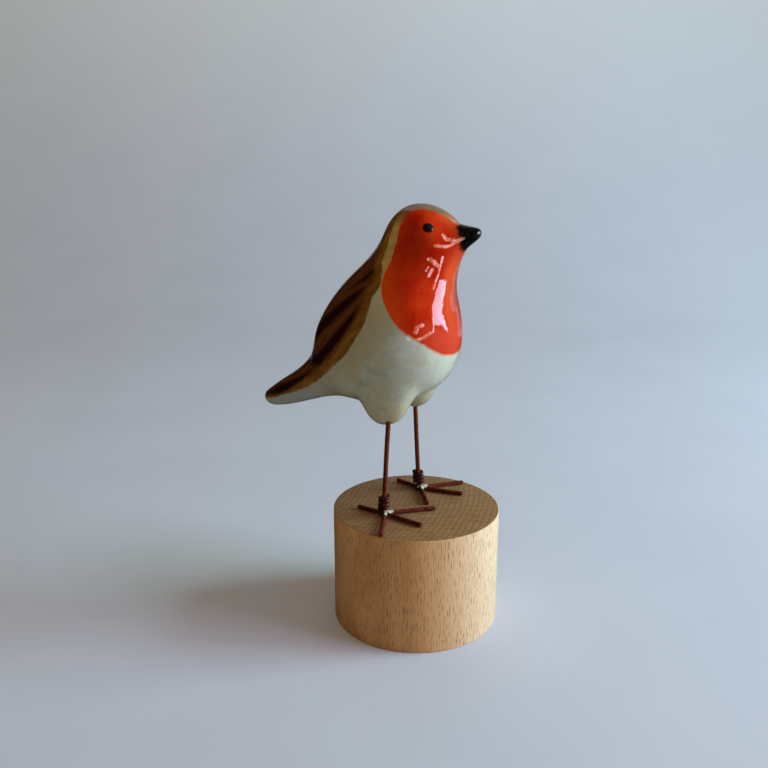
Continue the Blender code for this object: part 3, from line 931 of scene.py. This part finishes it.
black_glaze = Finish("black_glaze")
eye_black = black_glaze.mix(black_glaze.ramp(black_glaze.noise(0.8, 2.0), 0.4, 0.7),
                            rgb(0.006, 0.006, 0.008), rgb(0.015, 0.014, 0.016))
black_glaze.set(Base_Color=eye_black, Roughness=0.25, Specular_IOR_Level=0.1, Coat_Weight=0.1,
                Coat_Roughness=0.05, Normal=black_glaze.bump(black_glaze.noise(1.2, 1.0), 0.03))
for side in ("left", "right"):
    eye = lens(f"eye_bead_{side}", side, *EYE_BEAD, back=0.75)
    black_glaze.on(eye)
    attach(eye, "root")
    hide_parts(f"eye_{side}")


# ---------------------------------------------------------------------------------------------
# The studio: a sheet of pale cloth that lies flat under the ornament and sweeps up behind it, a
# tall cool window to the bird's front left, and the weak warm light of the room all round. The
# glaze mirrors its own, narrower sheet and its own pane, so that its glints can be set apart.

SHEET_LIFT = 0.05 * MM
SHEET_BACK, SHEET_RISE, SHEET_CURVE = 1.0, 1.3, 0.6  # in metres
VIEW_TURN = math.radians(29.4)

nothing_selected()
bpy.ops.mesh.primitive_plane_add(size=4.0, location=(0, 0, 0))
floor = bpy.context.object
floor.name = "cloth_floor"


def pick_back_edge(mesh):
    """Select the edges along the back of the sheet, where it lies on the table."""
    for part in (*mesh.polygons, *mesh.edges, *mesh.vertices):
        part.select = False
    for edge in mesh.edges:
        ends = [mesh.vertices[i].co for i in edge.vertices]
        edge.select = all(end.y > SHEET_BACK - 1e-4 and end.z < 0.01 for end in ends)


def swept_sheet(name, front_left, front_right, back_half_width):
    """A sheet of cloth on the table, drawn up in a curve at its back."""
    nothing_selected()
    bpy.ops.mesh.primitive_plane_add(size=1.0, location=(0, 0, SHEET_LIFT))
    sheet = bpy.context.object
    bpy.ops.object.transform_apply(location=True)
    for vertex in sheet.data.vertices:
        if vertex.co.y < 0:
            vertex.co.xy = front_left if vertex.co.x < 0 else front_right
        else:
            vertex.co.xy = (math.copysign(back_half_width, vertex.co.x), SHEET_BACK)
    pick_back_edge(sheet.data)
    bpy.ops.object.mode_set(mode="EDIT")
    bpy.ops.mesh.select_mode(type="EDGE")
    bpy.ops.mesh.extrude_region_move(TRANSFORM_OT_translate={"value": (0, 0, SHEET_RISE)})
    bpy.ops.object.mode_set(mode="OBJECT")
    pick_back_edge(sheet.data)
    bpy.ops.object.mode_set(mode="EDIT")
    bpy.ops.mesh.bevel(offset=SHEET_CURVE, segments=32)
    bpy.ops.object.mode_set(mode="OBJECT")
    sheet.rotation_euler.z = VIEW_TURN
    settle(sheet, name)
    bpy.ops.object.shade_smooth()
    return sheet


sweep = swept_sheet("cloth_sweep", (-0.75, -0.5), (0.75, -0.5), 0.75)
mirrored = swept_sheet("mirrored_sweep", (-0.105, -0.085), (0.45, 0.26), 0.33)
cloth = Finish("pale_cloth")
cloth_colour = cloth.mix(cloth.ramp(cloth.noise(60.0, 2.0), 0.3, 0.7),
                         rgb(0.620, 0.630, 0.785), rgb(0.640, 0.650, 0.805))
# painted light: the cloth is painted paler as it rises behind the bird
risen = cloth.add("ShaderNodeSeparateXYZ", {"Vector": cloth.place}).outputs["Z"]
cloth_colour = cloth.mix(cloth.ramp(risen, 0.0, 0.45), cloth_colour, rgb(0.82, 0.82, 0.90))
cloth.set(Base_Color=cloth_colour, Roughness=0.9, Specular_IOR_Level=0.1)
for sheet in (floor, sweep, mirrored):
    cloth.on(sheet)
# the glaze mirrors only a narrow strip of the cloth, and the dark room on both sides of it
for sheet in (floor, sweep):
    sheet.visible_glossy = False
mirrored.visible_camera = False
mirrored.visible_diffuse = False
mirrored.visible_shadow = False


def soft_light(name, bearing, height, distance, width, tall, power, colour):
    """A rectangular light standing upright on a bearing round the ornament, and facing it."""
    data = bpy.data.lights.new(name, "AREA")
    data.shape = "RECTANGLE"
    data.size, data.size_y = width, tall
    data.energy = power
    data.color = colour
    light = bpy.data.objects.new(name, data)
    bpy.context.scene.collection.objects.link(light)
    bearing = math.radians(bearing)
    away = Vector((math.cos(bearing), math.sin(bearing), 0))
    light.location = away * distance + Vector((0, 0, height))
    light.rotation_euler = away.to_track_quat("Z", "Y").to_euler()
    light.visible_camera = False
    return light


window = soft_light("window", 33, 0.45, 0.9, 0.36, 0.60, 9.0, (0.62, 1.0, 0.97))
window.visible_glossy = False
pane = soft_light("pane", 35, 0.27, 0.9, 0.50, 0.60, 13.5, (0.73, 0.76, 0.98))
pane.visible_diffuse = False
side_window = soft_light("side_window", 12, 0.30, 0.9, 0.36, 0.34, 6.2, (0.80, 0.80, 1.0))
side_window.visible_glossy = False
ceiling = soft_light("ceiling", 240, 1.3, 0.3, 1.6, 1.6, 4.4, (1.0, 0.90, 0.66))
ceiling.rotation_euler = (0, 0, 0)
ceiling.visible_glossy = False

world = bpy.context.scene.world or bpy.data.worlds.new("room")
bpy.context.scene.world = world
world.use_nodes = True
world.cycles_visibility.glossy = False
room = world.node_tree.nodes["Background"]
room.inputs["Color"].default_value = (1.0, 0.71, 0.27, 1.0)
room.inputs["Strength"].default_value = 0.13
bpy.context.scene.view_settings.view_transform = "Standard"

# the camera stands off the bird's front right, a little above it, and looks down at it
nothing_selected()
camera_data = bpy.data.cameras.new("camera")
camera_data.lens = 38.906
camera_data.sensor_width = 36.0
camera_data.clip_start = 0.01
camera = bpy.data.objects.new("camera", camera_data)
bpy.context.scene.collection.objects.link(camera)
camera.location = (0.10635, -0.2086, 0.13615)
camera.rotation_euler = (math.radians(90 - 15.09), 0.0, VIEW_TURN)
bpy.context.scene.camera = camera
